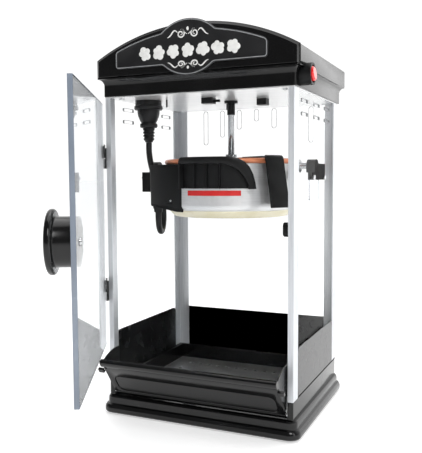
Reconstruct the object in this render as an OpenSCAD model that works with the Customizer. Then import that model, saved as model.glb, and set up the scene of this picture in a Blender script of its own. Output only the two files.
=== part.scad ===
// Tabletop popcorn maker: a glazed cabinet on a moulded plinth, an arched hood, a kettle that
// tips on two trunnions, a side-hung clear door and a front flap that tilts out.
// Frame: X to the right, Y to the back, Z up. The origin is the centre of the four feet, on the table.
// The door and the flap are drawn open, as the machine is shown for serving.

/* [Cabinet] */
// Half width of the cabinet over the corner posts
cab_x = 118.5; // [114:0.5:124]
// Half depth of the cabinet over the corner posts
cab_y = 98; // [96:0.5:104]
// Height of the moulded base, where the posts stand
base_top = 43.5; // [40:0.5:50]
// Height of the top of the dark side walls
wall_top = 100.5; // [90:0.5:120]
// Height of the lower edge of the hood
hood_z = 390; // [388:1:410]
// Side flange of a corner post
post_side = 18; // [12:1:24]
// Front flange of a front post
post_front = 6.5; // [5:0.5:8]
// Rear flange of a rear post
post_rear = 16; // [12:1:20]

/* [Hood] */
// Overhang of the hood's band past the lower skirt
hood_out = 6; // [4:0.5:8]
// Height of the band's lower corner above the hood's lower edge
band_low = 21.5; // [18:0.5:26]
// Height of the band's upper corner above the hood's lower edge
band_high = 44; // [36:0.5:50]
// Radius of the arched roof
arch_r = 252; // [240:1:270]
// Height of the roof's crest above the hood's lower edge
arch_rise = 77; // [74:0.5:80]

/* [Door and flap] */
// Opening of the door as drawn
door_open = 63; // [0:0.5:110]
// Thickness of the clear door
door_t = 5; // [3:0.5:5]
// Height of the door's lower edge
door_low = 90; // [89.5:0.5:96]
// Height of the door's upper edge
door_high = 381; // [360:1:384]
// Diameter of the round knob
knob_d = 60; // [40:1:64]
// Tilt of the front flap as drawn
flap_open = 35; // [0:1:36]
// Height of the flap above its pivot
flap_h = 60.5; // [57:0.5:61]

/* [Kettle] */
// Outer radius of the kettle's wall
kettle_r = 81.5; // [76:0.5:81.5]
// Height of the kettle's underside
kettle_low = 244; // [240:1:250]
// Height of the kettle's rim
kettle_rim = 315; // [312:0.5:316]
// Radius of the trunnion pins
trunnion_r = 4; // [3:0.5:5]
// Diameter of the drive shaft
shaft_d = 8; // [6:0.5:9]

/* [Hidden] */
$fn = 64;

eps = 0.01;
// plinth
foot_h = 4;
foot_r = 9;
foot_x = 98;
foot_y = 78;
tier_low = 2;
tier_mid = 13;
tier_high = 23;
plinth_out = 8;
plinth_wall = 7;
bin_x = cab_x - plinth_wall;
// posts and panels
post_t = 1.5;
post_top = hood_z - 1.2;
glass_t = 2.5;
glass_x = cab_x - post_t - 0.1;
glass_low = tier_high + 0.2;
glass_y = cab_y - 2.2;
wall_t = 1;
// hood
hood_wall = 2.5;
skirt_x = cab_x + 2;
skirt_front = -cab_y - 1;
skirt_back = cab_y + 7;
arch_z = hood_z + arch_rise - arch_r;
hood_x = skirt_x + hood_out;
hood_front = skirt_front - hood_out;
hood_back_y = skirt_back + hood_out;
fascia_t = 4;
// sign
sign_x = 95;
sign_low = hood_z + 31;
sign_drop = 7.5;
medal_r = 65;
medal_top = hood_z + 81.5;
medal_low = hood_z + 20;
medal_x = 42.5;
letter_z = hood_z + 46.5;
// switch
switch_y = -77;
switch_z = hood_z + 14;
switch_r = 12;
rocker_r = 8.2;
// door, in its closed place
hinge_x = -cab_x - 3;
hinge_y = -cab_y - 4;
door_x0 = hinge_x + 4;
door_x1 = cab_x + 0.5;
knob_x = 93;
knob_z = (door_low + door_high) / 2;
hinge_zs = [141, 304];
hinge_h = 29;
pin_r = 1.6;
// flap, in its closed place
flap_y = -cab_y + 3;
flap_z = 28;
flap_x = bin_x - 1;
flap_t = 3;
flap_pin_r = 2.5;
gusset_r = 56;
gusset_x = flap_x - 0.6;
// kettle
kettle_x = 7;
kettle_y = -3;
tilt_y = kettle_y + 12;
tilt_z = 306;
rim_r = kettle_r + 3;
pot_r = kettle_r - 5;
pot_floor = kettle_low + 20;
base_r = kettle_r - 15;
lid_z = kettle_rim - 1.5;
lid_t = 1.2;
bridge_a = 57;
bridge_w = 12;
hub_z = kettle_rim + 3;
hub_r = 7.2;
handle_in = kettle_r + 0.3;
handle_out = kettle_r + 8.5;
handle_low = 279;
handle_high = kettle_rim + 1.5;
handle_a0 = -18;
handle_a1 = 40;
box_low = 251;
box_high = 308.5;
hanger_x = glass_x - glass_t;
// lead
lead_d = 7.6;
plug_x = -86;
plug_y = -50;
plug_top = hood_z - 7;
plug_end = 337;
lead_points = [[-86, -50, 337], [-86, -50, 326], [-85, -49, 314], [-83, -46, 300], [-80, -41, 284],
    [-77.5, -36, 268], [-76, -32.5, 254], [-76, -31.5, 244], [-75.8, -32.3, 237.5],
    [-75, -35.2, 231], [-73.7, -40, 226.3], [-72, -46, 224.6], [-70.3, -52, 226.3],
    [-69, -56.8, 231], [-68.2, -59.7, 237.5], [-68, -60.5, 244], [-68, -60.5, 251]];
lead_sides = 10;

// ---------- helpers ----------
module rounded_plan(x, y, r) {
    square([2 * x - 2 * r, 2 * y], center = true);
    square([2 * x, 2 * y - 2 * r], center = true);
    for (sx = [-1, 1], sy = [-1, 1])
        translate([sx * (x - r), sy * (y - r)]) circle(r);
}

module slab(x, y, r, z0, z1) {
    translate([0, 0, z0]) linear_extrude(z1 - z0) rounded_plan(x, y, r);
}

module box(p, q) {
    translate(p) cube(q - p);
}

// turns its children about the door's hinge line, from closed to the drawn opening
module door_pose() {
    translate([hinge_x, hinge_y, 0]) rotate([0, 0, -door_open]) translate([-hinge_x, -hinge_y, 0])
        children();
}

// turns its children about the flap's pivot, from closed to the drawn tilt
module flap_pose() {
    translate([0, flap_y, flap_z]) rotate([flap_open, 0, 0]) translate([0, -flap_y, -flap_z])
        children();
}

module at_kettle(z = 0) {
    translate([kettle_x, kettle_y, z]) children();
}

// a wedge of the plan about the kettle's axis, from angle a0 to a1, measured from the front
module sector(a0, a1, r) {
    polygon(concat([[0, 0]],
        [for (i = [0 : 6]) let (a = a0 + (a1 - a0) * i / 6) [r * sin(a), -r * cos(a)]]));
}

module ring_sector(r0, r1, a0, a1, z0, z1) {
    at_kettle(z0) linear_extrude(z1 - z0) intersection() {
        difference() {
            circle(r1);
            circle(r0);
        }
        sector(a0, a1, 2 * r1);
    }
}

module pan_screw(r, h) {
    cylinder(r = r, h = h);
    cylinder(r = r / 2, h = h + 3);
}

// ---------- base ----------
module feet() {
    color("#1b1b1d")
        for (x = [-foot_x, foot_x], y = [-foot_y, foot_y])
            translate([x, y, 0]) difference() {
                union() {
                    cylinder(r = foot_r, h = foot_h);
                    cylinder(r = 5, h = tier_high - 3);
                }
                translate([0, 0, -eps]) cylinder(r = 3, h = 2);
            }
}

module base_plinth() {
    color("#141416") difference() {
        union() {
            slab(cab_x + plinth_out - 1.5, cab_y + plinth_out, 13, tier_low, tier_low + 2);
            slab(cab_x + plinth_out, cab_y + plinth_out + 1.5, 14, tier_low + 2, tier_mid - 2);
            slab(cab_x + plinth_out - 1.5, cab_y + plinth_out, 13, tier_mid - 2, tier_mid);
            slab(cab_x + 4, cab_y + 5, 9, tier_mid - 1, tier_high - 1.5);
            slab(cab_x + 3, cab_y + 4, 8, tier_mid, tier_high);
            slab(cab_x, cab_y, 2, tier_low, base_top);
        }
        box([-cab_x + 2, -cab_y + 2, tier_low - 1], [cab_x - 2, cab_y - 2, tier_high - 3]);
        box([-bin_x, -cab_y - 12, tier_high], [bin_x, cab_y - 7, base_top + 1]);
        for (s = [-1, 1])
            translate([s * (bin_x - 0.5), flap_y, flap_z]) rotate([0, s * 90, 0])
                cylinder(r = flap_pin_r + 0.05, h = 4);
        for (s = [-1, 1], y = [-cab_y + 1, cab_y - post_side])
            box([s > 0 ? bin_x - 0.5 : -glass_x, -cab_y + 6, glass_low - 0.2],
                [s > 0 ? glass_x : -bin_x + 0.5, cab_y - 7, base_top + 1]);
        translate([92, cab_y, 12]) rotate([-90, 0, 0]) cylinder(r = 4, h = 12);
    }
}

module bottom_cover() {
    color("#6f7275") difference() {
        box([-cab_x + 3, -cab_y + 3, foot_h], [cab_x - 3, cab_y - 3, foot_h + 1]);
        for (x = [-50, 0, 50], y = [-30 : 12 : 30])
            translate([x - 15, y, foot_h - 1]) cube([30, 4, 3]);
        for (x = [-1, 1], y = [-1, 1]) {
            translate([x * 50, y * 78, foot_h - 1]) cylinder(r = 1.75, h = 3);
            translate([x * foot_x, y * foot_y, foot_h - 1]) cylinder(r = 14, h = 3);
        }
    }
}

module cover_screws() {
    color("#9a9c9e")
        for (x = [-1, 1], y = [-1, 1])
            translate([x * 50, y * 78, foot_h - 1.6]) {
                cylinder(r = 3, h = 1.6);
                cylinder(r = 1.6, h = 9);
            }
}

module popcorn_deck() {
    color("#b9bcbf") difference() {
        box([-bin_x + 0.3, -cab_y + 8, tier_high], [bin_x - 0.3, cab_y - 7.3, tier_high + 1.2]);
        for (x = [-84 : 14 : 84], y = [-64, 64])
            translate([x, y, tier_high - 1]) cylinder(r = 3.2, h = 4);
        for (y = [-36 : 18 : 36], x = [-88, 88])
            translate([x, y, tier_high - 1]) cylinder(r = 3.2, h = 4);
    }
}

// ---------- posts and panels ----------
module post_angle(front) {
    flange = front ? post_front : post_rear;
    color("#c9ccce") translate([0, 0, base_top]) linear_extrude(post_top - base_top) {
        translate([-cab_x, -cab_y]) square([post_t, post_side]);
        translate([-cab_x, front ? -cab_y : -cab_y + 2.2 - post_t])
            square([flange, post_t]);
    }
}

module post_front_left() {
    post_angle(true);
}

module post_front_right() {
    mirror([1, 0, 0]) post_angle(true);
}

module post_rear_left() {
    mirror([0, 1, 0]) rear_angle();
}

module post_rear_right() {
    mirror([1, 0, 0]) mirror([0, 1, 0]) rear_angle();
}

// the rear flange stands inside the rear glass
module rear_angle() {
    color("#c9ccce") translate([0, 0, base_top]) linear_extrude(post_top - base_top) {
        translate([-cab_x, -cab_y]) square([post_t, post_side]);
        translate([-cab_x, -glass_y]) square([post_rear, post_t]);
    }
}

module side_wall() {
    color("#202224") translate([cab_x - wall_t, 0, 0]) rotate([90, 0, 90]) linear_extrude(wall_t)
        difference() {
            union() {
                translate([-cab_y + post_side + 0.3, base_top])
                    square([2 * (cab_y - post_side) - 0.6, wall_top - base_top - 6]);
                translate([-cab_y + post_side + 6.3, base_top])
                    square([2 * (cab_y - post_side) - 12.6, wall_top - base_top]);
                for (s = [-1, 1])
                    translate([s * (cab_y - post_side - 6.3), wall_top - 6]) circle(6);
            }
        }
}

module side_wall_right() {
    side_wall();
}

module side_wall_left() {
    mirror([1, 0, 0]) side_wall();
}

module rear_wall() {
    color("#202224")
        box([-cab_x + post_t + 0.2, cab_y - 1, base_top], [cab_x - post_t - 0.2, cab_y, wall_top]);
}

// one rounded upright slot in a plan of the panel
module slot_plan(x, z0, z1, w) {
    translate([x - w / 2, z0 + w / 2]) square([w, z1 - z0 - w]);
    translate([x, z0 + w / 2]) circle(w / 2);
    translate([x, z1 - w / 2]) circle(w / 2);
}

module side_glass() {
    color("#dfe9ee", 0.35) translate([glass_x - glass_t, 0, 0]) rotate([90, 0, 90])
        linear_extrude(glass_t) difference() {
            translate([-cab_y + 6.2, glass_low]) square([2 * cab_y - 15, post_top - glass_low - 0.2]);
            for (y = [-50, 2.5, 52.5], z = [363.5, 378.5])
                translate([y, z]) {
                    square([24, 1.5], center = true);
                    square([21, 4.5], center = true);
                    for (sx = [-1, 1], sz = [-1, 1])
                        translate([sx * 10.5, sz * 0.75]) circle(1.5);
                }
            translate([tilt_y, tilt_z]) circle(2.1);
            for (y = [tilt_y - 20, tilt_y + 30]) translate([y, tilt_z - 14]) circle(1.6);
        }
}

module glass_right() {
    side_glass();
}

module glass_left() {
    mirror([1, 0, 0]) side_glass();
}

module glass_rear() {
    color("#dfe9ee", 0.35) translate([0, glass_y + 1.2, 0]) rotate([90, 0, 0]) linear_extrude(1.2)
        difference() {
            translate([-cab_x + post_t + 0.2, base_top + 0.2])
                square([2 * (cab_x - post_t) - 0.4, post_top - base_top - 0.4]);
            for (i = [-3 : 3])
                slot_plan(kettle_x - 2 + 26 * i, 371 - 10.5 * abs(i), 388, 7);
        }
}

// ---------- door hardware on the cabinet ----------
module door_hinge_brackets() {
    color("#17181a")
        for (z = hinge_zs) difference() {
            union() {
                translate([hinge_x, hinge_y, z]) cylinder(r = 3.4, h = hinge_h * 0.42);
                box([hinge_x - 0.6, hinge_y, z], [-cab_x, -cab_y + 3, z + hinge_h * 0.42]);
                box([-cab_x - 1.6, -cab_y, z], [-cab_x, -cab_y + 9, z + hinge_h * 0.86]);
            }
            translate([hinge_x, hinge_y, z - 1]) cylinder(r = pin_r, h = hinge_h);
        }
}

module door_hinge_pins() {
    color("#b5b7ba")
        for (z = hinge_zs)
            translate([hinge_x, hinge_y, z + 1]) cylinder(r = pin_r, h = hinge_h - 2);
}

module door_catch() {
    color("#17181a") {
        translate([cab_x - 13, -cab_y + 1.8, 230]) cube([6.2, 8, 10]);
        for (z = [230, 240])
            translate([cab_x - 13, -cab_y + 5.8, z]) rotate([0, 90, 0]) cylinder(r = 4, h = 6.2);
        box([cab_x - 7, -cab_y + post_t + 0.1, 228], [cab_x - 2, -cab_y + 4, 242]);
    }
}

// ---------- hood ----------
module hood_ring(inset, z0, z1) {
    x = hood_x - inset;
    y0 = hood_front + inset;
    y1 = hood_back_y - inset;
    translate([0, (y0 + y1) / 2, hood_z + z0]) linear_extrude(z1 - z0) difference() {
        rounded_plan(x, (y1 - y0) / 2, 2);
        square([2 * (skirt_x - hood_wall), skirt_back - skirt_front - 2 * hood_wall], center = true);
    }
}

module hood_skirt() {
    color("#121214") difference() {
        union() {
            hood_ring(hood_out, 0, 13);
            hood_ring(hood_out - 1, 13, 16);
            hood_ring(hood_out - 2.5, 16, 18.5);
            hood_ring(hood_out - 4.5, 18.5, band_low);
            difference() {
                hood_ring(0, band_low, band_high - 1);
                box([-hood_x + 3, hood_front - 1, hood_z + band_low],
                    [hood_x - 3, hood_front + fascia_t, hood_z + 60]);
                box([-hood_x + 3, hood_back_y - 3, hood_z + band_low],
                    [hood_x - 3, hood_back_y + 1, hood_z + 60]);
            }
        }
        translate([skirt_x, switch_y, switch_z]) rotate([0, 90, 0]) cylinder(r = switch_r + 0.1, h = 10);
        translate([skirt_x - 10, switch_y, switch_z]) rotate([0, 90, 0]) cylinder(r = 9.9, h = 12);
    }
}

module arch_body(r, y0, y1, x) {
    intersection() {
        translate([0, y1, arch_z]) rotate([90, 0, 0]) cylinder(r = r, h = y1 - y0, $fn = 180);
        box([-x, y0, hood_z + band_low], [x, y1, hood_z + 100]);
    }
}

module hood_roof() {
    color("#1c1d1f") difference() {
        arch_body(arch_r - 0.8, hood_front + fascia_t, hood_back_y - 3, hood_x);
        arch_body(arch_r - 2.3, hood_front, hood_back_y, hood_x + 1);
        box([-hood_x - 1, hood_front, hood_z], [hood_x + 1, hood_back_y, hood_z + band_high - 1]);
    }
}

module hood_fascia() {
    color("#121214")
        arch_body(arch_r, hood_front, hood_front + fascia_t, hood_x - 3);
}

module hood_back() {
    color("#1c1d1f") difference() {
        arch_body(arch_r - 0.8, hood_back_y - 3, hood_back_y, hood_x - 3);
        for (x = [-70 : 20 : 70])
            translate([x - 6, hood_back_y - 4, hood_z + 36]) cube([12, 5, 3]);
        translate([-60, hood_back_y - 4, hood_z + 50]) rotate([-90, 0, 0]) cylinder(r = 7, h = 6);
    }
}

module medallion(grow) {
    intersection() {
        translate([0, medal_top - medal_r]) circle(medal_r + grow, $fn = 128);
        translate([0, medal_low + medal_r]) circle(medal_r + grow, $fn = 128);
        translate([-medal_x - grow, medal_low - 5]) square([2 * (medal_x + grow), 90]);
    }
}

module sign_outline(grow) {
    medallion(grow);
    intersection() {
        translate([0, arch_z]) circle(arch_r - sign_drop + grow, $fn = 180);
        translate([-sign_x - grow, sign_low - grow]) square([2 * (sign_x + grow), 60]);
    }
}

module sign_plate() {
    color("#0f0f11") translate([0, hood_front, 0]) rotate([90, 0, 0]) difference() {
        linear_extrude(2) sign_outline(0);
        translate([0, 0, 1.2]) linear_extrude(2) sign_outline(-1.4);
    }
}

// one popped kernel: a few round lobes about a heart
module kernel_plan(r) {
    circle(r * 0.62);
    for (i = [0 : 4])
        rotate(72 * i + 18) translate([r * 0.6, 0]) circle(r * (0.46 + 0.04 * (i % 2)));
}

module sign_emblem() {
    color("#f2f2f0") translate([0, hood_front - 1.2, 0]) rotate([90, 0, 0]) linear_extrude(0.6) {
        for (i = [-3 : 3])
            translate([17.5 * i, letter_z - 0.5]) rotate(40 * i) kernel_plan(7);
        for (s = [-1, 1], m = [-1, 1])
            translate([0, letter_z + 2 + s * 18]) {
                circle(1.6);
                translate([m * 9, 0]) difference() {
                    circle(4.6);
                    translate([m * 0.7, -s * 0.8]) circle(3.7);
                }
            }
    }
}

module ceiling_plate() {
    color("#d8dadb") difference() {
        box([-cab_x, -cab_y, post_top], [cab_x, cab_y, hood_z]);
        translate([kettle_x, kettle_y, post_top - 1]) cylinder(r = 6, h = 4);
        translate([plug_x, plug_y, post_top - 1]) cylinder(r = 13, h = 4);
        for (x = [-1, 1], y = [-1, 1])
            translate([x * 104, y * 84, post_top - 1]) cylinder(r = 1.75, h = 4);
    }
}

module ceiling_screws() {
    color("#a9abae")
        for (x = [-1, 1], y = [-1, 1])
            translate([x * 104, y * 84, post_top - 1.4]) {
                cylinder(r = 3, h = 1.4);
                cylinder(r = 1.6, h = 8);
            }
}

module switch_bezel() {
    color("#131315") translate([0, switch_y, switch_z]) rotate([0, 90, 0]) difference() {
        union() {
            translate([0, 0, skirt_x]) cylinder(r = switch_r, h = 13);
            translate([0, 0, skirt_x - 14]) cylinder(r = 9.8, h = 14 + eps);
        }
        translate([0, 0, skirt_x + 6]) cylinder(r = 9.6, h = 9);
        translate([0, -11, skirt_x + 11]) rotate([-90, 0, 0]) cylinder(r = 1.25, h = 22);
    }
}

module switch_rocker() {
    color("#d9161c") translate([skirt_x + 11, switch_y, switch_z]) rotate([0, -7, 0])
        rotate([0, 90, 0]) translate([0, 0, -2.5]) {
            cylinder(r = rocker_r, h = 5);
            translate([0, 0, 5]) cylinder(r1 = rocker_r, r2 = rocker_r - 1.5, h = 1.6);
            translate([0, -10.8, 2.5]) rotate([-90, 0, 0]) cylinder(r = 1.2, h = 21.6);
        }
}

module gear_motor() {
    color("#8b8e91") at_kettle(hood_z) {
        difference() {
            translate([-26, -20, 0.1]) cube([62, 40, 24]);
            translate([0, 0, -1]) cylinder(r = shaft_d / 2 + 0.3, h = 22);
        }
        translate([14, 0, 24]) cylinder(r = 17, h = 26);
    }
}

module shaft_bush() {
    color("#b08d57") at_kettle(post_top - 3) difference() {
        union() {
            cylinder(r = 5.9, h = 4.2);
            cylinder(r = 8.5, h = 2.8);
        }
        translate([0, 0, -1]) cylinder(r = shaft_d / 2 + 0.05, h = 8);
    }
}

module power_socket() {
    color("#131315") translate([plug_x, plug_y, 0]) difference() {
        union() {
            translate([0, 0, plug_top]) cylinder(r = 16.5, h = post_top - plug_top - 0.1);
            translate([0, 0, plug_top]) cylinder(r = 12.5, h = 20);
        }
        for (x = [-6.3, 6.3])
            translate([x - 1, -3.5, plug_top - 1]) cube([2, 7, 18]);
    }
}

module lead_plug() {
    color("#161618") translate([plug_x, plug_y, 0]) {
        translate([0, 0, plug_top - 5.5]) cylinder(r = 18, h = 5.4);
        translate([0, 0, 361]) cylinder(r1 = 9, r2 = 14, h = plug_top - 5.5 - 361);
        translate([0, 0, 355]) cylinder(r = 11, h = 6);
        translate([0, 0, 350]) cylinder(r = 7.2, h = 5);
        translate([0, 0, plug_end]) cylinder(r1 = 5.4, r2 = 7.2, h = 13);
        for (x = [-6.3, 6.3])
            translate([x - 0.8, -3.2, plug_top - 0.1]) cube([1.6, 6.4, 15]);
    }
}

// the lead: one tube swept along its hand-laid points
function unit(v) = v / norm(v);
function lead_dir(i) = let (n = len(lead_points) - 1)
    unit(lead_points[min(i + 1, n)] - lead_points[max(i - 1, 0)]);
function lead_side(i) = unit(cross(lead_dir(i), [0.93, 0.36, 0.02]));
function lead_ring(i) = let (t = lead_dir(i), u = lead_side(i), v = cross(t, u))
    [for (k = [0 : lead_sides - 1]) let (a = 360 * k / lead_sides)
        lead_points[i] + lead_d / 2 * (cos(a) * u + sin(a) * v)];

module kettle_lead() {
    n = len(lead_points);
    m = lead_sides;
    points = [for (i = [0 : n - 1]) each lead_ring(i)];
    walls = [for (i = [0 : n - 2], k = [0 : m - 1])
        [i * m + k, (i + 1) * m + k, (i + 1) * m + (k + 1) % m, i * m + (k + 1) % m]];
    caps = [[for (k = [0 : m - 1]) k], [for (k = [m - 1 : -1 : 0]) (n - 1) * m + k]];
    color("#141416") polyhedron(points, concat(walls, caps));
}

module ceiling_clips() {
    color("#141416") {
        box([-12, -52, post_top - 7], [2, -40, post_top - 0.1]);
        translate([2, -46, post_top - 4]) rotate([0, 90, 0]) cylinder(r = 1.6, h = 8);
        box([-10, 22, post_top - 8], [-2, 32, post_top - 0.1]);
        box([46, -16, post_top - 8], [58, -4, post_top - 0.1]);
        translate([-60, -50, post_top - 9]) cylinder(r = 1, h = 8.9);
    }
}

// ---------- kettle hangers ----------
module hanger_left() {
    color("#161719") difference() {
        union() {
            box([-hanger_x, tilt_y - 28, tilt_z - 32], [-hanger_x + 12, tilt_y + 12, tilt_z - 6]);
            box([-hanger_x, tilt_y - 8, tilt_z - 6.5], [-hanger_x + 12, tilt_y + 8, tilt_z]);
            translate([-hanger_x, tilt_y, tilt_z]) rotate([0, 90, 0]) cylinder(r = 8, h = 12);
        }
        translate([-hanger_x + 1.5, tilt_y, tilt_z]) rotate([0, 90, 0])
            cylinder(r = trunnion_r + 0.05, h = 12);
        box([-hanger_x + 9, tilt_y - 24, tilt_z - 19], [-hanger_x + 13, tilt_y - 16, tilt_z - 17]);
    }
}

module hanger_right() {
    color("#161719") difference() {
        union() {
            box([hanger_x - 11, tilt_y - 8, tilt_z - 8], [hanger_x, tilt_y + 40, tilt_z + 3]);
            translate([hanger_x - 11, tilt_y, tilt_z]) rotate([0, 90, 0]) cylinder(r = 8, h = 11);
            box([hanger_x - 5, tilt_y - 22, tilt_z - 17], [hanger_x, tilt_y + 40, tilt_z - 8]);
        }
        translate([hanger_x - 12, tilt_y, tilt_z]) rotate([0, 90, 0])
            cylinder(r = trunnion_r + 0.05, h = 10.5);
    }
}

module hanger_guard() {
    color("#e4ecf0", 0.35)
        box([hanger_x - 9, tilt_y - 4, tilt_z - 42], [hanger_x - 7, tilt_y + 36, tilt_z - 8]);
}

module hanger_screws() {
    color("#c4c6c8")
        for (s = [-1, 1], y = [tilt_y - 20, tilt_y + (s > 0 ? 30 : 6)])
            translate([s * (glass_x + 0.1), y, tilt_z - 14]) rotate([0, s * 90, 0])
                cylinder(r = 3, h = 1.3);
}

module cord_gland() {
    color("#131315") translate([-60, hood_back_y, hood_z + 50]) rotate([-90, 0, 0]) difference() {
        union() {
            translate([0, 0, -3.6]) cylinder(r = 6.9, h = 3.7);
            cylinder(r = 9, h = 2);
        }
        translate([0, 0, -5]) cylinder(r = 4, h = 8);
    }
}

// ---------- door ----------
module door_panel() {
    color("#cfdbe4", 0.35) door_pose() difference() {
        box([door_x0, hinge_y - door_t / 2, door_low], [door_x1, hinge_y + door_t / 2, door_high]);
        translate([knob_x, hinge_y + 10, knob_z]) rotate([90, 0, 0]) cylinder(r = 2.2, h = 20);
    }
}

module door_hinge_leaves() {
    color("#17181a") door_pose()
        for (z = hinge_zs) {
            z0 = z + hinge_h * 0.42 + 0.3;
            difference() {
                union() {
                    translate([hinge_x, hinge_y, z0]) cylinder(r = 3.4, h = hinge_h * 0.58);
                    box([hinge_x, hinge_y - 3.4, z0], [door_x0 + 5, hinge_y + 3.4, z0 + hinge_h * 0.58]);
                }
                translate([hinge_x, hinge_y, z0 - 1]) cylinder(r = pin_r + 0.05, h = hinge_h);
                box([door_x0, hinge_y - door_t / 2, z0 - 1],
                    [door_x0 + 6, hinge_y + door_t / 2, z0 + hinge_h]);
            }
        }
}

module door_knob() {
    color("#101012") door_pose() translate([knob_x, hinge_y - door_t / 2, knob_z]) rotate([90, 0, 0])
        difference() {
            union() {
                cylinder(r = knob_d * 0.385, h = 14);
                translate([0, 0, 13]) cylinder(r = knob_d / 2, h = 7);
                translate([0, 0, 20]) cylinder(r1 = knob_d / 2, r2 = knob_d / 2 - 5, h = 3);
            }
            translate([0, 0, -1]) cylinder(r = 2, h = 12);
        }
}

module knob_screw() {
    color("#c4c6c8") door_pose() translate([knob_x, hinge_y + door_t / 2, knob_z]) rotate([90, 0, 0]) {
        translate([0, 0, -2]) cylinder(r = 4, h = 2);
        cylinder(r = 2, h = door_t + 10);
    }
}

// ---------- front flap ----------
module flap_panel() {
    top = flap_z + flap_h;
    color("#151517") flap_pose() difference() {
        union() {
            box([-flap_x, flap_y - flap_t, flap_z - 1], [flap_x, flap_y, top]);
            box([-flap_x, flap_y - 7, top - 9], [flap_x, flap_y, top]);
            box([-flap_x, flap_y - 4, flap_z + 4], [flap_x, flap_y - 2, top - 9]);
            for (s = [-1, 1])
                box([s > 0 ? flap_x - 1 : -flap_x - 6, flap_y - 7, top - 19],
                    [s > 0 ? flap_x + 6 : -flap_x + 1, flap_y - 3.4, top - 13]);
            translate([-flap_x, flap_y, flap_z]) rotate([0, 90, 0]) cylinder(r = 3.9, h = 2 * flap_x);
        }
        for (s = [-1, 1])
            translate([s * (flap_x + 1), flap_y, flap_z]) rotate([0, -s * 90, 0])
                cylinder(r = flap_pin_r, h = 12);
        slab_plan(top);
    }
}

// the shallow recess with rounded ends across the flap's face
module slab_plan(top) {
    translate([0, flap_y - 3.2, 0]) rotate([90, 0, 0]) linear_extrude(3) {
        translate([-flap_x + 16, flap_z + 4]) square([2 * flap_x - 32, top - flap_z - 24]);
        translate([-flap_x + 8, flap_z + 4]) square([2 * flap_x - 16, top - flap_z - 32]);
        for (s = [-1, 1])
            translate([s * (flap_x - 16), top - 28]) circle(8);
    }
}

module flap_gussets() {
    color("#1d1e20") flap_pose()
        for (s = [-1, 1])
            translate([s > 0 ? gusset_x - 1.2 : -gusset_x, flap_y, flap_z])
                rotate([90, 0, 90]) linear_extrude(1.2) intersection() {
                    difference() {
                        circle(gusset_r);
                        circle(6);
                    }
                    polygon([[0.2, 0], [0.2, 80], [80 * sin(40), 80 * cos(40)]]);
                }
}

module flap_pins() {
    color("#b5b7ba") flap_pose()
        for (s = [-1, 1])
            translate([s * (flap_x - 8), flap_y, flap_z]) rotate([0, s * 90, 0])
                cylinder(r = flap_pin_r, h = 11.5);
}

// ---------- drive ----------
module drive_shaft() {
    top = hood_z + 19;
    color("#c6c8ca") at_kettle() {
        translate([0, 0, hub_z + 4.2]) cylinder(r = shaft_d / 2, h = top - hub_z - 4.2);
        box([-2.8, -1.2, hub_z + 2.2], [2.8, 1.2, hub_z + 5]);
    }
}

module shaft_collar() {
    color("#1a1b1d") at_kettle(post_top - 20) difference() {
        cylinder(r = 6, h = 16.5);
        translate([0, 0, -1]) cylinder(r = shaft_d / 2, h = 20);
    }
}

// ---------- kettle ----------
// the wall's outline from the underside up round the lower corner
corner = [[13, 0.4], [10.5, 1.2], [7.2, 3.7], [4.5, 6.3], [2.2, 8.9], [0.6, 11.4], [0, 14]];

module kettle_shell() {
    wall = 1.2;
    color("#c3c5c7") at_kettle() rotate_extrude($fn = 128) polygon(concat(
        [for (p = corner) [kettle_r - p[0], kettle_low + p[1]]],
        [[kettle_r, kettle_rim - 6.2], [kettle_r - wall, kettle_rim - 6.2]],
        [for (i = [len(corner) - 1 : -1 : 0])
            [kettle_r - corner[i][0] - wall, kettle_low + corner[i][1] + 0.4 * wall]]));
}

module kettle_pot() {
    color("#d26a3f") at_kettle() rotate_extrude($fn = 128) {
        polygon([[0, pot_floor], [pot_r - 8, pot_floor], [pot_r, pot_floor + 8],
            [pot_r, kettle_rim - 5], [rim_r - 2, kettle_rim - 5], [rim_r - 2, kettle_rim - 2],
            [pot_r - 1.5, kettle_rim - 2], [pot_r - 1.5, pot_floor + 8.6],
            [pot_r - 8.6, pot_floor + 1.5], [0, pot_floor + 1.5]]);
        translate([rim_r - 3, kettle_rim - 3]) circle(3);
    }
}

module kettle_base() {
    color("#d9d3bd") at_kettle(kettle_low) difference() {
        cylinder(r = base_r, h = 3.2, $fn = 128);
        translate([0, 0, 1.2]) cylinder(r = base_r - 2, h = 3, $fn = 128);
    }
}

module heater_ring() {
    color("#5d5f62") at_kettle(pot_floor - 4.2) difference() {
        rotate_extrude() translate([48, 0]) circle(4);
        box([-2, -60, -6], [2, -40, 6]);
    }
}

module kettle_handle() {
    top = handle_high;
    lip = rim_r + 0.3;
    color("#17181a") {
        ring_sector(handle_in, handle_in + 3.2, handle_a0, handle_a1, handle_low, kettle_rim - 6.3);
        ring_sector(lip - 0.4, handle_out, handle_a0, handle_a1, kettle_rim - 7.5, kettle_rim - 6.3);
        ring_sector(lip, handle_out, handle_a0, handle_a1, kettle_rim - 6.4, top);
        ring_sector(handle_in, handle_out, handle_a1 - 5, handle_a1, handle_low, kettle_rim - 6.3);
        ring_sector(handle_in, handle_out, handle_a0, handle_a0 + 2, handle_low, kettle_rim - 6.3);
        for (a = [-4, 9, 22])
            ring_sector(handle_in, handle_in + 6, a, a + 1.5, handle_low, kettle_rim - 6.3);
    }
}

// the box on the kettle's front left side where its lead ends
module terminal_box() {
    color("#17181a") translate([0, 0, box_low]) linear_extrude(box_high - box_low) difference() {
        polygon([[-28, -78.5], [-79, -61], [-79, -51], [-50, -44], [-22, -70]]);
        translate([kettle_x, kettle_y]) circle(kettle_r + 0.1, $fn = 128);
    }
}

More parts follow.
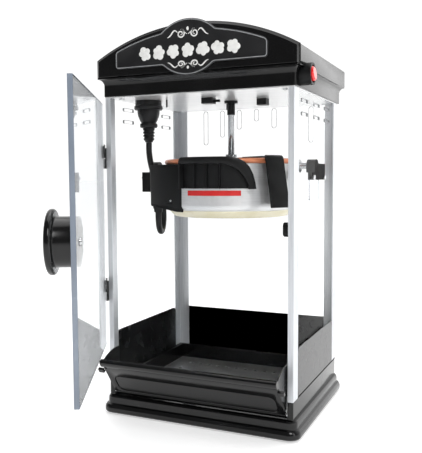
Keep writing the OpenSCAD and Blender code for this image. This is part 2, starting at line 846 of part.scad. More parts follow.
module lid_bridge() {
    r_in = rim_r + 0.6;
    color("#17181a") at_kettle() rotate([0, 0, bridge_a - 90]) {
        difference() {
            box([-r_in - 4, -bridge_w / 2, kettle_rim + 0.2], [r_in + 4, bridge_w / 2, kettle_rim + 2.6]);
            translate([0, 0, kettle_rim - 1]) cylinder(r = 5.05, h = 6);
        }
        for (s = [-1, 1]) {
            box([s > 0 ? r_in : -r_in - 4, -12, kettle_rim - 12],
                [s > 0 ? r_in + 4 : -r_in, 12, kettle_rim + 2.6]);
            box([s > 0 ? r_in + 1 : -r_in - 5, -12, 257],
                [s > 0 ? r_in + 5 : -r_in - 1, 12, kettle_rim - 11]);
        }
    }
}

module kettle_trunnions() {
    color("#b5b7ba")
        for (s = [-1, 1]) {
            face = sqrt(pow(kettle_r, 2) - 144) + s * kettle_x;
            translate([s * (face + 3.2), tilt_y, tilt_z]) rotate([0, s * 90, 0])
                cylinder(r = trunnion_r, h = hanger_x - face - 8);
            difference() {
                translate([s * (face - 8), tilt_y, tilt_z]) rotate([0, s * 90, 0])
                    cylinder(r = 8, h = 14);
                at_kettle(200) cylinder(r = kettle_r + 0.1, h = 200, $fn = 128);
                at_kettle(kettle_rim - 6.3) cylinder(r = rim_r + 0.4, h = 30, $fn = 128);
            }
        }
}

module kettle_label() {
    color("#c9211e") ring_sector(kettle_r + 0.02, kettle_r + 0.3, -17, 30, 259, 277.5);
}

// one half of the round lid, on the side of the bridge that s names
module lid_half(s) {
    gap = bridge_w / 2 + 0.6;
    at_kettle(lid_z) rotate([0, 0, bridge_a - 90]) intersection() {
        difference() {
            cylinder(r = pot_r - 2.2, h = lid_t, $fn = 128);
            for (i = [-2 : 2])
                translate([i * 18, s * 34, -1]) cylinder(r = 2.5, h = 4);
        }
        box([-90, s > 0 ? gap : -90, -1], [90, s > 0 ? 90 : -gap, 5]);
    }
}

module lid_rear() {
    color("#cfd1d3") lid_half(1);
}

module lid_front() {
    color("#cfd1d3") {
        lid_half(-1);
        at_kettle(lid_z + 0.6) rotate([0, 0, bridge_a - 90])
            for (x = [-46, 40])
                translate([x, -bridge_w / 2 - 1.2, 0]) rotate([0, 90, 0]) cylinder(r = 0.9, h = 8);
    }
}

module stirrer() {
    low = pot_floor + 2.2;
    color("#c6c8ca") at_kettle() {
        translate([0, 0, low]) cylinder(r = 3, h = kettle_rim - low - 2);
        translate([0, 0, kettle_rim - 3]) cylinder(r = 5, h = hub_z - kettle_rim + 3);
        difference() {
            translate([0, 0, hub_z - 0.1]) cylinder(r = hub_r, h = 3.5);
            box([-5.6, -3.7, hub_z + 1.6], [5.6, 3.7, hub_z + 5]);
        }
        for (a = [20, 200])
            translate([0, 0, low]) rotate([0, 0, a]) box([2, -1, 0], [58, 1, 6]);
    }
}

feet();
base_plinth();
bottom_cover();
cover_screws();
popcorn_deck();
post_front_left();
post_front_right();
post_rear_left();
post_rear_right();
side_wall_left();
side_wall_right();
rear_wall();
glass_left();
glass_right();
glass_rear();
door_hinge_brackets();
door_hinge_pins();
door_catch();
hood_skirt();
hood_roof();
hood_fascia();
hood_back();
sign_plate();
sign_emblem();
ceiling_plate();
ceiling_screws();
switch_bezel();
gear_motor();
shaft_bush();
power_socket();
lead_plug();
kettle_lead();
ceiling_clips();
hanger_left();
hanger_right();
hanger_guard();
hanger_screws();
cord_gland();
switch_rocker();
door_panel();
door_hinge_leaves();
door_knob();
knob_screw();
flap_panel();
flap_gussets();
flap_pins();
drive_shaft();
shaft_collar();
kettle_shell();
kettle_pot();
kettle_base();
heater_ring();
kettle_handle();
terminal_box();
lid_bridge();
kettle_trunnions();
kettle_label();
lid_rear();
lid_front();
stirrer();
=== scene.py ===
import math

import bmesh
import bpy
from mathutils import Matrix, Vector


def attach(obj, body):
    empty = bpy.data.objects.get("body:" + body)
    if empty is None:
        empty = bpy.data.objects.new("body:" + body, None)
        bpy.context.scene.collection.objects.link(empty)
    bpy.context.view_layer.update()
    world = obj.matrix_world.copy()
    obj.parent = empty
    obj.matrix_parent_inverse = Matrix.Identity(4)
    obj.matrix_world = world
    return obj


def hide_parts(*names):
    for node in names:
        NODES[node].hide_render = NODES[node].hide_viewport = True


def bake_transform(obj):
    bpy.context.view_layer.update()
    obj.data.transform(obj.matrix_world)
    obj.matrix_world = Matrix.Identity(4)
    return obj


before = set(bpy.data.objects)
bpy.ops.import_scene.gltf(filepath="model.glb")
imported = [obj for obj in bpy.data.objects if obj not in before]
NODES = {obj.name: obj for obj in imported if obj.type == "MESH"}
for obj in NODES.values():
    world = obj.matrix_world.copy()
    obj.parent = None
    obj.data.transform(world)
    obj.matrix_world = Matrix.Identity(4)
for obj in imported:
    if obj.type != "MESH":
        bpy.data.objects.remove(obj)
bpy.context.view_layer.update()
MM = 0.001
KX, KY = 7.0, -3.0  # the kettle's axis
HINGE = (-121.5, -102.0)  # the door's hinge line
DOOR_OPEN = math.radians(-63.0)
FLAP_AXIS = (-95.0, 28.0)  # y and z of the flap's pivot
FLAP_OPEN = math.radians(35.0)
ARCH_Z, ARCH_R = 215.0, 252.0  # height of centre and radius of the hood's arch
HOOD_X, HOOD_FRONT, HOOD_BACK = 126.5, -105.0, 111.0  # the hood's half width, front and back
ARCH_FOOT = 411.6  # where the hood's arched front and the band on its sides begin
WALL_X = 118.5  # outer face of the side walls
SIDES = (("right", 1), ("left", -1))

# ---------------------------------------------------------------- camera
cam_at = Vector((0.324557, -0.782052, 0.292219))
yaw, pitch, roll = math.radians(23.97), math.radians(-4.245), math.radians(-0.337)
fwd = Vector((-math.sin(yaw) * math.cos(pitch), math.cos(yaw) * math.cos(pitch), math.sin(pitch)))
right = Vector((math.cos(yaw), math.sin(yaw), 0))
up = right.cross(fwd)
right2 = right * math.cos(roll) + up * math.sin(roll)
up2 = up * math.cos(roll) - right * math.sin(roll)
cam = bpy.data.cameras.new("camera")
cam_ob = bpy.data.objects.new("camera", cam)
bpy.context.collection.objects.link(cam_ob)
turn = Matrix((right2, up2, -fwd)).transposed()
cam_ob.matrix_world = Matrix.Translation(cam_at) @ turn.to_4x4()
cam.sensor_width = 36
cam.lens = 52.2
cam.clip_start = 0.05
bpy.context.scene.camera = cam_ob


# ---------------------------------------------------------------- mesh helpers (all in mm)
def spin(p, centre, a):
    """A flat point turned by a about centre."""
    x, y = p[0] - centre[0], p[1] - centre[1]
    return (centre[0] + x * math.cos(a) - y * math.sin(a), centre[1] + x * math.sin(a) + y * math.cos(a))


def door(p):
    """A point of the closed door, in its drawn place."""
    x, y = spin((p[0], p[1]), HINGE, DOOR_OPEN)
    return (x, y, p[2])


def flap(p):
    """A point of the closed flap, in its drawn place."""
    y, z = spin((p[1], p[2]), FLAP_AXIS, FLAP_OPEN)
    return (p[0], y, z)


def same(p):
    return p


def make(name, verts, faces, mat, body, place=same, smooth=35, stands_for=(), slot=None):
    """A piece from points in mm, put in its drawn place; body None leaves it unattached to any body."""
    me = bpy.data.meshes.new(name)
    me.from_pydata([tuple(c * MM for c in place(v)) for v in verts], [], faces)
    bm = bmesh.new()
    bm.from_mesh(me)
    bmesh.ops.remove_doubles(bm, verts=bm.verts, dist=1e-7)
    bmesh.ops.recalc_face_normals(bm, faces=bm.faces)
    bm.to_mesh(me)
    bm.free()
    ob = bpy.data.objects.new(name, me)
    bpy.context.collection.objects.link(ob)
    me.materials.append(mat)
    if smooth:
        me.shade_smooth()
        me.set_sharp_from_angle(angle=math.radians(smooth))
    if body:
        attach(ob, body)
    for n in stands_for:
        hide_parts(n)
    return ob


def grid(rings, closed=True, caps=True, loop=False):
    """Faces between rings of equal length; closed joins each ring's ends, loop joins the last to the first."""
    n, m = len(rings[0]), len(rings)
    verts = [p for r in rings for p in r]
    faces = []
    for i in range(m if loop else m - 1):
        j = (i + 1) % m
        for k in range(n if closed else n - 1):
            q = (k + 1) % n
            faces.append((i * n + k, j * n + k, j * n + q, i * n + q))
    if caps and not loop and closed:
        faces.append(tuple(range(n)))
        faces.append(tuple(range((m - 1) * n, m * n)))
    return verts, faces


def join(*parts):
    """Several (verts, faces) pairs as one."""
    verts, faces = [], []
    for v, f in parts:
        k = len(verts)
        verts += v
        faces += [tuple(i + k for i in q) for q in f]
    return verts, faces


def rrect(x0, x1, y0, y1, r, n=6):
    """The outline of a rectangle with rounded corners."""
    pts = []
    for cx, cy, a0 in ((x1 - r, y1 - r, 0), (x0 + r, y1 - r, 90), (x0 + r, y0 + r, 180), (x1 - r, y0 + r, 270)):
        for i in range(n + 1):
            a = math.radians(a0 + 90 * i / n)
            pts.append((cx + r * math.cos(a), cy + r * math.sin(a)))
    return pts


def block(p, q, r=1.0, axis=2, edge=0.6):
    """A block from p to q with its edges along axis rounded by r and its end edges eased."""
    a, b = [i for i in range(3) if i != axis]
    rings = []
    for t, g in ((p[axis], edge), (p[axis] + edge, 0), (q[axis] - edge, 0), (q[axis], edge)):
        ring = []
        for u, v in rrect(p[a] + g, q[a] - g, p[b] + g, q[b] - g, max(r - g, 0.05)):
            c = [0, 0, 0]
            c[a], c[b], c[axis] = u, v, t
            ring.append(tuple(c))
        rings.append(ring)
    return grid(rings)


def lathe(profile, centre=(0, 0, 0), axis="z", seg=64):
    """A turned shape from (radius, height) pairs."""
    rings = []
    for r, h in profile:
        ring = []
        for k in range(seg):
            a = math.radians(360.0 * k / seg)
            c, s = max(r, 0.001) * math.cos(a), max(r, 0.001) * math.sin(a)
            if axis == "z":
                p = (c, s, h)
            elif axis == "x":
                p = (h, c, s)
            else:
                p = (s, h, c)
            ring.append(tuple(p[i] + centre[i] for i in range(3)))
        rings.append(ring)
    return grid(rings, caps=False)


def plate(outline, lo, hi, axis=1, edge=0.5):
    """A plate with the given flat outline; its two rims are eased towards its middle."""
    n = len(outline)
    cx, cy = sum(p[0] for p in outline) / n, sum(p[1] for p in outline) / n

    def inset(p, g):
        d = math.hypot(p[0] - cx, p[1] - cy) or 1
        return (p[0] - (p[0] - cx) / d * g, p[1] - (p[1] - cy) / d * g)

    rings = []
    for t, g in ((lo, edge), (lo + edge, 0), (hi - edge, 0), (hi, edge)):
        ring = []
        for p in outline:
            u, v = inset(p, g)
            c = [u, v]
            c.insert(axis, t)
            ring.append(tuple(c))
        rings.append(ring)
    return grid(rings)


# ---------------------------------------------------------------- materials
def nodes_of(name):
    """A new material, its node tree and its main shader."""
    m = bpy.data.materials.new(name)
    m.use_nodes = True
    nt = m.node_tree
    return m, nt, nt.nodes["Principled BSDF"]


def ramp(nt, source, lo, hi, a=0.35, b=0.65):
    """source spread between lo and hi, which are greys or colours."""
    r = nt.nodes.new("ShaderNodeValToRGB")
    r.color_ramp.elements[0].position, r.color_ramp.elements[1].position = a, b
    r.color_ramp.elements[0].color = (*lo, 1) if isinstance(lo, tuple) else (lo, lo, lo, 1)
    r.color_ramp.elements[1].color = (*hi, 1) if isinstance(hi, tuple) else (hi, hi, hi, 1)
    nt.links.new(source, r.inputs[0])
    return r.outputs[0]


def noise(nt, scale, detail=3.0, stretch=(1, 1, 1), rough=0.5):
    tc = nt.nodes.new("ShaderNodeTexCoord")
    mp = nt.nodes.new("ShaderNodeMapping")
    mp.inputs["Scale"].default_value = stretch
    nz = nt.nodes.new("ShaderNodeTexNoise")
    nz.inputs["Scale"].default_value = scale
    nz.inputs["Detail"].default_value = detail
    nz.inputs["Roughness"].default_value = rough
    nt.links.new(tc.outputs["Object"], mp.inputs[0])
    nt.links.new(mp.outputs[0], nz.inputs["Vector"])
    return nz.outputs[0]


def bump(nt, bsdf, source, strength, distance):
    b = nt.nodes.new("ShaderNodeBump")
    b.inputs["Strength"].default_value = strength
    b.inputs["Distance"].default_value = distance
    nt.links.new(source, b.inputs["Height"])
    nt.links.new(b.outputs[0], bsdf.inputs["Normal"])


def finish_mat(name, low, high, rough, metallic=0.0, scale=60, stretch=(1, 1, 1), bump_s=0.05, bump_d=0.0002,
               coat=0.0, grain=None, spec=0.5):
    """A surface whose colour and gloss drift between two values, with a fine grain."""
    m, nt, b = nodes_of(name)
    field = noise(nt, scale, 4, stretch)
    nt.links.new(ramp(nt, field, low, high), b.inputs["Base Color"])
    nt.links.new(ramp(nt, field, rough[0], rough[1]), b.inputs["Roughness"])
    b.inputs["Metallic"].default_value = metallic
    b.inputs["Specular IOR Level"].default_value = spec
    b.inputs["Coat Weight"].default_value = coat
    b.inputs["Coat Roughness"].default_value = 0.04
    bump(nt, b, noise(nt, grain, 2, stretch) if grain else field, bump_s, bump_d)
    return m


def clear_mat(name, colour, rough=0.0, ior=1.46):
    m, nt, b = nodes_of(name)
    nt.links.new(ramp(nt, noise(nt, 9, 2), tuple(c * 0.985 for c in colour), colour), b.inputs["Base Color"])
    b.inputs["Roughness"].default_value = rough
    b.inputs["Transmission Weight"].default_value = 1.0
    b.inputs["IOR"].default_value = ior
    return m


BLACK = finish_mat("gloss_black", (0.0022, 0.0022, 0.0024), (0.0036, 0.0036, 0.0038), (0.13, 0.2), scale=25,
                   bump_s=0.03, bump_d=0.00008, grain=420, spec=0.4)
SATIN = finish_mat("satin_black", (0.004, 0.0042, 0.0044), (0.007, 0.0074, 0.0078), (0.34, 0.46), scale=60,
                   bump_s=0.12, bump_d=0.00012, grain=1500, spec=0.22)
RUBBER = finish_mat("rubber", (0.018, 0.018, 0.018), (0.03, 0.03, 0.03), (0.6, 0.75), scale=80, bump_s=0.15,
                    grain=900)
CORD = finish_mat("cord_black", (0.006, 0.006, 0.0065), (0.010, 0.010, 0.011), (0.32, 0.44), scale=90, bump_s=0.1,
                  bump_d=0.00012, grain=900, spec=0.25)
POST = finish_mat("post_aluminium", (0.62, 0.64, 0.67), (0.74, 0.76, 0.79), (0.36, 0.44), metallic=0.5, scale=40,
                  stretch=(14, 14, 0.5), bump_s=0.05, bump_d=0.00008)
PLATED = finish_mat("plated_steel", (0.55, 0.56, 0.57), (0.68, 0.69, 0.70), (0.18, 0.3), metallic=1.0, scale=120,
                    bump_s=0.03)
CHROME = finish_mat("chrome", (0.30, 0.31, 0.32), (0.42, 0.43, 0.44), (0.10, 0.18), metallic=1.0, scale=80,
                    stretch=(1, 1, 0.3), bump_s=0.02)
KETTLE = finish_mat("kettle_aluminium", (0.66, 0.665, 0.67), (0.74, 0.745, 0.75), (0.36, 0.48), metallic=0.85,
                    scale=50, stretch=(0.4, 0.4, 16), bump_s=0.06, bump_d=0.00006)
CREAM = finish_mat("kettle_cream_edge", (0.86, 0.80, 0.58), (0.92, 0.87, 0.68), (0.35, 0.45), scale=70)
COPPER = finish_mat("copper", (0.62, 0.20, 0.09), (0.74, 0.27, 0.13), (0.34, 0.46), metallic=0.25, scale=70,
                    bump_s=0.08, coat=0.2)
SHEET = finish_mat("sheet_steel", (0.62, 0.63, 0.64), (0.72, 0.73, 0.74), (0.28, 0.4), metallic=0.9, scale=45,
                   stretch=(0.6, 12, 1), bump_s=0.04)
CEILING = finish_mat("ceiling_steel", (0.86, 0.865, 0.87), (0.89, 0.895, 0.90), (0.25, 0.27), metallic=0.5,
                     scale=20, stretch=(0.6, 6, 1), bump_s=0.004)
# painted shade: a near-black matte finish for thin strips that stand for the shadow in gaps and slots
SHADOW = finish_mat("painted_shadow_black", (0.0008, 0.0008, 0.0008), (0.0014, 0.0014, 0.0014), (0.7, 0.8), scale=90,
                    spec=0.05)
SLOT_EDGE = finish_mat("cut_glass_edge", (0.30, 0.31, 0.32), (0.38, 0.39, 0.40), (0.3, 0.4), scale=80)
WALL = finish_mat("wall_black", (0.010, 0.0105, 0.011), (0.013, 0.0135, 0.014), (0.26, 0.28), scale=50, bump_s=0.01,
                  grain=700)
MOTOR = finish_mat("motor_grey", (0.22, 0.225, 0.23), (0.30, 0.305, 0.31), (0.4, 0.55), metallic=0.6, scale=70)
RED = finish_mat("switch_red", (0.68, 0.008, 0.010), (0.78, 0.016, 0.016), (0.1, 0.18), scale=120, coat=0.5,
                 bump_s=0.02)
LABEL_RED = finish_mat("label_red", (0.60, 0.012, 0.012), (0.66, 0.02, 0.018), (0.3, 0.4), scale=120)
LABEL_PALE = finish_mat("label_pale", (0.68, 0.68, 0.685), (0.74, 0.74, 0.745), (0.34, 0.44), metallic=0.75,
                        scale=120)
WHITE = finish_mat("emblem_white", (0.80, 0.80, 0.78), (0.88, 0.88, 0.86), (0.4, 0.5), scale=200)
BORDER = finish_mat("sign_border_grey", (0.30, 0.31, 0.32), (0.40, 0.41, 0.42), (0.3, 0.4), metallic=0.3, scale=160)
SIGN = finish_mat("sign_black", (0.006, 0.006, 0.007), (0.009, 0.009, 0.010), (0.34, 0.44), scale=60, bump_s=0.04,
                  grain=600)
GLASS = clear_mat("clear_glass", (0.985, 0.99, 0.99), ior=1.035)
ACRYLIC = clear_mat("door_acrylic", (0.93, 0.955, 0.98), 0.01)
DOOR_EDGE = finish_mat("door_edge", (0.16, 0.19, 0.24), (0.24, 0.28, 0.34), (0.16, 0.28), scale=30,
                       stretch=(1, 1, 0.4), coat=0.4, bump_s=0.03)

SLOTS = {
    "feet": RUBBER, "base_plinth": BLACK, "bottom_cover": SHEET, "cover_screws": PLATED, "popcorn_deck": SHEET,
    "post_front_left": POST, "post_front_right": POST, "post_rear_left": POST, "post_rear_right": POST,
    "side_wall_left": WALL, "side_wall_right": WALL, "rear_wall": WALL, "glass_left": GLASS, "glass_right": GLASS,
    "glass_rear": GLASS, "door_hinge_brackets": SATIN, "door_hinge_pins": PLATED, "door_catch": SATIN,
    "hood_skirt": BLACK, "hood_roof": BLACK, "hood_fascia": BLACK, "hood_back": BLACK, "sign_plate": SIGN,
    "sign_emblem": WHITE, "ceiling_plate": CEILING, "ceiling_screws": PLATED, "switch_bezel": SATIN,
    "gear_motor": MOTOR, "shaft_bush": SATIN, "power_socket": SATIN, "lead_plug": CORD, "kettle_lead": CORD,
    "ceiling_clips": SATIN, "hanger_left": SATIN, "hanger_right": SATIN, "hanger_guard": ACRYLIC,
    "hanger_screws": PLATED, "cord_gland": SATIN, "switch_rocker": RED, "door_panel": ACRYLIC,
    "door_hinge_leaves": SATIN, "door_knob": BLACK, "knob_screw": PLATED, "flap_panel": BLACK,
    "flap_gussets": WALL, "flap_pins": PLATED, "drive_shaft": CHROME, "shaft_collar": SATIN,
    "kettle_shell": KETTLE, "kettle_pot": COPPER, "kettle_base": CREAM, "heater_ring": MOTOR,
    "kettle_handle": SATIN, "terminal_box": SATIN, "lid_bridge": SATIN, "kettle_trunnions": PLATED,
    "kettle_label": LABEL_RED, "lid_rear": SHEET, "lid_front": SHEET, "stirrer": CHROME,
}
for name, ob in NODES.items():
    ob.data.materials.clear()
    ob.data.materials.append(SLOTS[name])

# ---------------------------------------------------------------- the kettle's lead
LEAD = [(-86, -50, 337), (-86, -50, 326), (-85, -49, 314), (-83, -46, 300), (-80, -41, 284), (-77.5, -36, 268),
        (-76, -32.5, 254), (-76, -31.5, 244), (-75.8, -32.3, 237.5), (-75, -35.2, 231), (-73.7, -40, 226.3),
        (-72, -46, 224.6), (-70.3, -52, 226.3), (-69, -56.8, 231), (-68.2, -59.7, 237.5), (-68, -60.5, 244),
        (-68, -60.5, 251)]


def smooth_path(points, steps=4):
    """A smooth curve through every point."""
    pts = [Vector(p) for p in points]
    pts = [pts[0] * 2 - pts[1]] + pts + [pts[-1] * 2 - pts[-2]]
    out = []
    for i in range(1, len(pts) - 2):
        a, b, c, d = pts[i - 1 : i + 3]
        for k in range(steps):
            t = k / steps
            out.append(0.5 * ((2 * b) + (c - a) * t + (2 * a - 5 * b + 4 * c - d) * t * t
                              + (3 * b - a - 3 * c + d) * t**3))
    out.append(pts[-2])
    return out


def tube(path, r, seg=20):
    """A round tube of radius r along path, without twist."""
    rings = []
    u = None
    for i, p in enumerate(path):
        t = (path[min(i + 1, len(path) - 1)] - path[max(i - 1, 0)]).normalized()
        if u is None:
            u = t.cross(Vector((0.93, 0.36, 0.02))).normalized()
        u = (u - t * u.dot(t)).normalized()
        v = t.cross(u)
        rings.append([tuple(p + r * (math.cos(2 * math.pi * k / seg) * u + math.sin(2 * math.pi * k / seg) * v))
                      for k in range(seg)])
    return grid(rings)


lead_path = smooth_path(LEAD)
lead = make("kettle_lead_tube", *tube(lead_path, 3.78), CORD, None, smooth=60)
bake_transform(lead)
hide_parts("kettle_lead")

plug = make(
    "lead_plug_body",
    *join(
        lathe([(0, 382.8), (17, 382.8), (17.9, 381.6), (17.9, 378.9), (17, 377.6), (13.9, 377.4), (13.9, 374),
               (13.2, 370), (11, 364.5), (9.2, 361.4), (9.4, 361), (10.6, 360.4), (11, 359), (11, 357),
               (10.3, 355.6), (7.4, 355), (7.4, 352.4), (6.3, 352), (6.3, 350.8), (7.3, 350.4), (7.3, 348.4),
               (6.1, 348), (6.1, 346.8), (7.1, 346.4), (7.1, 344.4), (5.9, 344), (5.9, 342.8), (6.8, 342.4),
               (6.6, 340.2), (5.6, 339.6), (4.6, 337.4), (0, 337.2)],
              (-86, -50, 0)),
        block((-93.1, -53.2, 382.7), (-91.5, -46.8, 397.8), 0.5),
        block((-80.5, -53.2, 382.7), (-78.9, -46.8, 397.8), 0.5),
    ),
    CORD, "cabinet", stands_for=["lead_plug"],
)

# ---------------------------------------------------------------- hood
def hood_ring(g, z, r):
    """The hood's outline at height z, drawn in by g, with corners of radius r."""
    return [(x, y, z) for x, y in rrect(-HOOD_X + g, HOOD_X - g, HOOD_FRONT + g, HOOD_BACK - g, r)]


# (drawn in by, height, corner radius), up the outside over the cove and down the inside
skirt = [(8.2, 390.2, 1.4), (6.6, 390.0, 2.6), (6.0, 390.6, 3.0), (6.0, 397, 3.0), (6.0, 402.6, 3.0)]
skirt += [(0.15 + 5.85 * math.cos(math.radians(a)), 402.6 + 8.2 * math.sin(math.radians(a)), 3.4)
          for a in range(10, 91, 8)]
skirt += [(0.1, 411.2, 3.6), (0.2, 411.55, 3.6), (4.6, 411.55, 1.5), (7.4, 402, 1.5), (8.2, 396, 1.2)]
make("hood_moulding", *grid([hood_ring(g, z, r) for g, z, r in skirt], loop=True), BLACK, "cabinet",
     stands_for=["hood_skirt"], slot="gloss_black")


def band_path(g):
    """The band's line round the sides and the back."""
    x, y1, r = HOOD_X - g, HOOD_BACK - g, 4.0
    pts = [(x, -101.3)] + [(x - r + r * math.cos(math.radians(a)), y1 - r + r * math.sin(math.radians(a)))
                           for a in range(0, 91, 15)]
    return pts + [(-p[0], p[1]) for p in reversed(pts)]


band_prof = [(0.35, ARCH_FOOT), (0, 412.2), (0, 431.4), (0.5, 432.6), (1.4, 433.1), (2.4, 433.0), (2.4, 411.7)]
make("hood_band", *grid([[(x, y, z) for x, y in band_path(g)] for g, z in band_prof], closed=False, loop=True),
     BLACK, "cabinet", slot="gloss_black")


def arch(x, r):
    """Height of the arch of radius r at x."""
    return ARCH_Z + math.sqrt(max(r * r - x * x, 0))


def roof_ring(r, y, half):
    xs = [-half + 2 * half * i / 72 for i in range(73)]
    return [(x, y, arch(x, r)) for x in xs]


roof_rows = [(249.4, -100.6), (250.6, -101.0), (251.2, -99.6)] + [(251.2, -90 + 10 * i) for i in range(20)] + [
    (251.2, 108.2), (250.4, 109.6), (249.4, 110.0), (249.4, 108.0), (249.4, -100.0)]
make("hood_roof_sheet", *grid([roof_ring(r, y, 125.6) for r, y in roof_rows], closed=False, loop=True), BLACK,
     "cabinet", stands_for=["hood_roof"], slot="gloss_black")


def fascia_outline(g):
    """The arched front's outline, drawn in by g."""
    x, low = HOOD_X - g, ARCH_FOOT + g * 0.4
    rise = arch(x, ARCH_R - g) - ARCH_FOOT
    top = [(x * t, arch(x * t, ARCH_R - g)) for t in [1 - i / 40 for i in range(81)]]
    up_right = [(x, ARCH_FOOT + rise * k / 5) for k in range(1, 5)]
    down_left = [(-x, ARCH_FOOT + rise * (4 - k) / 5) for k in range(4)]
    return [(x, low)] + up_right + top + down_left + [(-x, low)]


fas_rings = [[(x, y, z) for x, z in fascia_outline(g)]
             for y, g in ((-101.2, 0.8), (-101.5, 0.1), (-102.2, 0.0), (-104.0, 2.6), (-104.7, 3.3),
                          (HOOD_FRONT, 4.2))]
make("hood_fascia_front", *grid(fas_rings), BLACK, "cabinet", stands_for=["hood_fascia"], slot="gloss_black",
     smooth=25)

# sign
SX, SLOW, SCX = 94.8, 420.4, -3.2  # half length, lower edge and middle of the sign
TOP_ARC, LOW_ARC = (421.3, 49.4), (454.7, 46.7)  # height of centre and radius of the medallion's two arcs


def sign_outline(g, n=96):
    """The sign's outline drawn in by g: along the arch, bulging round the medallion, and back."""
    x1, r = SX - g, max(4.0 - g, 0.6)
    top, low = [], []
    for i in range(n + 1):
        t = math.sin((i / n - 0.5) * math.pi)
        x = x1 * t
        ease = max(0.0, r - (x1 - abs(x)))
        round_off = r - math.sqrt(max(r * r - ease * ease, 0))
        zt = arch(x, ARCH_R - 7.5 - g) - round_off
        zl = SLOW + g + round_off
        if abs(x) < 40:
            zt = max(zt, TOP_ARC[0] + math.sqrt((TOP_ARC[1] - g) ** 2 - x * x))
            zl = min(zl, LOW_ARC[0] - math.sqrt((LOW_ARC[1] - g) ** 2 - x * x))
        top.append((x + SCX, zt))
        low.append((x + SCX, zl))
    return top + low[::-1]


def sign_ring(g, y):
    return [(x, y, z) for x, z in sign_outline(g)]


make("sign_plate_face", *grid([sign_ring(0.0, -104.9), sign_ring(0.0, -106.4), sign_ring(0.45, -106.95),
                               sign_ring(0.75, -106.95)], caps=False), SIGN, "cabinet", smooth=30)
make("sign_border_line", *grid([sign_ring(0.7, -106.9), sign_ring(0.8, -107.0), sign_ring(1.7, -107.0),
                                sign_ring(1.8, -106.8)], caps=False), BORDER, "cabinet", smooth=30)
inner = [sign_ring(1.75, -106.9), sign_ring(2.3, -106.25), sign_ring(2.8, -106.2)]
field_verts, field_faces = grid(inner, caps=False)
around = len(inner[0])
last = 2 * around  # the innermost ring is filled with strips from its upper to its lower edge
field_faces += [(last + i, last + i + 1, last + around - 2 - i, last + around - 1 - i)
                for i in range(around // 2 - 1)]
make("sign_field", field_verts, field_faces, SIGN, "cabinet", stands_for=["sign_plate"], slot="gloss_black",
     smooth=30)


KERNEL, KERNEL_Z = 7.4, 435.4  # size of a popped kernel and height of their row
FACE_Y = -106.15  # what stands on the sign stands on this


def lobe_at(turn_deg, seed, i):
    """Direction in degrees of a kernel's lobe number i."""
    return turn_deg + 72 * i + 7 * math.sin(seed + i * 2.1)


def kernel_outline(cx, cz, size, turn_deg, seed):
    """The rounded outline of a popped kernel: five uneven lobes round a heart."""
    pts = []
    lobes = [(lobe_at(turn_deg, seed, i), size * (0.50 + 0.06 * math.sin(seed * 1.7 + i * 2.9))) for i in range(5)]
    for k in range(120):
        a = math.radians(3 * k)
        best = size * 0.5
        for la, lr in lobes:
            d = size * 0.58
            b = a - math.radians(la)
            disc = lr * lr - (d * math.sin(b)) ** 2
            if disc > 0 and math.cos(b) > 0:
                best = max(best, d * math.cos(b) + math.sqrt(disc))
        pts.append((cx + best * math.cos(a), cz + best * math.sin(a)))
    return pts


def stroke(points, width, y0, y1):
    """A flat ribbon of changing width along points (x, z), from y0 out to y1."""
    n = len(points)
    left, right_side = [], []
    for i, p in enumerate(points):
        a, b = points[max(i - 1, 0)], points[min(i + 1, n - 1)]
        dx, dz = b[0] - a[0], b[1] - a[1]
        d = math.hypot(dx, dz) or 1
        w = width(i / (n - 1)) / 2
        left.append((p[0] - dz / d * w, p[1] + dx / d * w))
        right_side.append((p[0] + dz / d * w, p[1] - dx / d * w))
    ring = left + right_side[::-1]
    v = [(x, y0, z) for x, z in ring] + [(x, y1, z) for x, z in ring]
    m = len(ring)
    f = [(i, (i + 1) % m, m + (i + 1) % m, m + i) for i in range(m)]
    f += [(m + i, m + i + 1, m + m - 2 - i, m + m - 1 - i) for i in range(n - 1)]
    return v, f


def puff(r, y, height):
    """Profile of a low dome of radius r standing on y."""
    return [(r * math.cos(math.radians(b)), y - height * math.sin(math.radians(b))) for b in range(0, 91, 15)]


